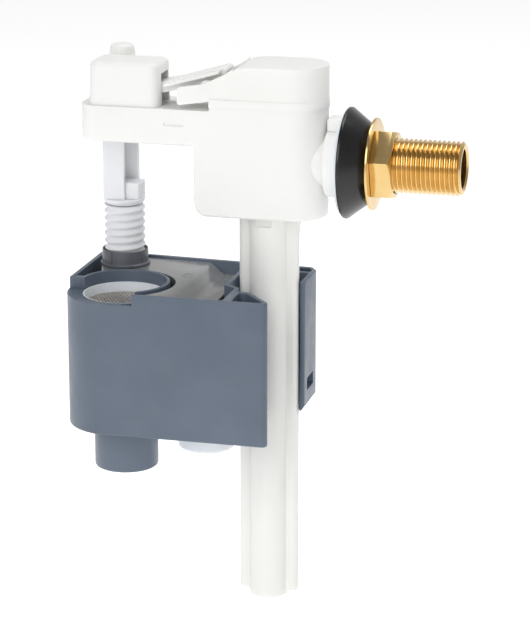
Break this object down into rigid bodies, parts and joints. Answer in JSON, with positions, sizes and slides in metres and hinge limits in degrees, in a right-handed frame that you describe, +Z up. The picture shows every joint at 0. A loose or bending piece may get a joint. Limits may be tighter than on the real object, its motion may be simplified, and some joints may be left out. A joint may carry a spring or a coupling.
{
  "type": "toilet fill valve",
  "caption": "Side-entry toilet fill valve: a bucket float on a threaded rod works a lever that shuts a diaphragm valve above a down-pipe.",
  "frame": {"origin": "centre of the inlet thread's outer end", "axes": "+X along the inlet's axis, out of the cistern; +Z up, along the down-pipe; +Y away from the float's flat front wall"},
  "size_m": [0.1525, 0.063, 0.218],
  "materials": {
    "white_plastic": "satin moulded",
    "slate_plastic": "satin moulded",
    "deck_plastic": "satin moulded",
    "brass": "machined",
    "black_rubber": "satin",
    "stainless_steel": "fine"
  },
  "bodies": {
    "body": {"valve_housing": "white_plastic", "outlet_pipe": "white_plastic", "outlet_seal": "black_rubber", "seat_ring": "white_plastic", "diaphragm": "black_rubber", "metering_pin": "stainless_steel", "chamber_cap": "white_plastic", "cap_seal": "black_rubber", "pilot_nozzle": "brass", "lever_pin": "stainless_steel", "arm_hood": "white_plastic", "inlet_collar": "white_plastic", "locking_clip": "white_plastic", "shoulder_washer": "white_plastic", "wall_gasket": "black_rubber", "inlet_nipple": "brass", "inlet_orings": "black_rubber", "inlet_strainer": "white_plastic", "flow_regulator": "slate_plastic"},
    "main_valve": {"diaphragm_insert": "white_plastic"},
    "lever": {"float_lever": "white_plastic", "pilot_pad": "black_rubber"},
    "rod": {"rod_rail": "white_plastic", "link_pin": "stainless_steel", "test_button": "white_plastic", "threaded_spindle": "white_plastic"},
    "float": {"float_shell": "slate_plastic", "float_deck": "deck_plastic", "drain_cup": "slate_plastic", "filter_ring": "white_plastic", "filter_mesh": "stainless_steel"},
    "collar": {"thumb_collar": "slate_plastic"},
    "foot": {"check_float": "white_plastic"},
    "washer": {"clamp_washer": "brass"},
    "nut": {"lock_nut": "brass"}
  },
  "joints": [
    {"name": "float_lift", "type": "slide", "parent": "body", "child": "rod", "axis": [0, 0, 1], "range_m": [0, 0.006]},
    {"name": "lever_swing", "type": "hinge", "parent": "body", "child": "lever", "pos_m": [-0.098, 0, 0.0282], "axis": [0, 1, 0], "range_deg": [0, 8.5]},
    {"name": "main_valve_lift", "type": "slide", "parent": "body", "child": "main_valve", "axis": [0, 0, 1], "range_m": [0, 0.002], "deforming": ["diaphragm"]},
    {"name": "collar_turn", "type": "hinge", "parent": "float", "child": "collar", "pos_m": [-0.1385, 0.0125, -0.045], "axis": [0, 0, 1], "range_deg": [-1801, 1801]},
    {"name": "float_level", "type": "slide", "parent": "rod", "child": "float", "axis": [0, 0, 1], "range_m": [-0.015, 0.015]},
    {"name": "foot_lift", "type": "slide", "parent": "float", "child": "foot", "axis": [0, 0, 1], "range_m": [0, 0.004]},
    {"name": "nut_turn", "type": "hinge", "parent": "washer", "child": "nut", "pos_m": [-0.034, 0, 0], "axis": [1, 0, 0], "range_deg": [0, 4321]},
    {"name": "washer_travel", "type": "slide", "parent": "body", "child": "washer", "axis": [1, 0, 0], "range_m": [0, 0.02177]}
  ],
  "couplings": [
    {"joint": "lever_swing", "follows": "float_lift", "rad_per_m": 24.691},
    {"joint": "collar_turn", "follows": "float_level", "rad_per_m": 2094.4},
    {"joint": "nut_turn", "follows": "washer_travel", "rad_per_m": 3463.7}
  ]
}
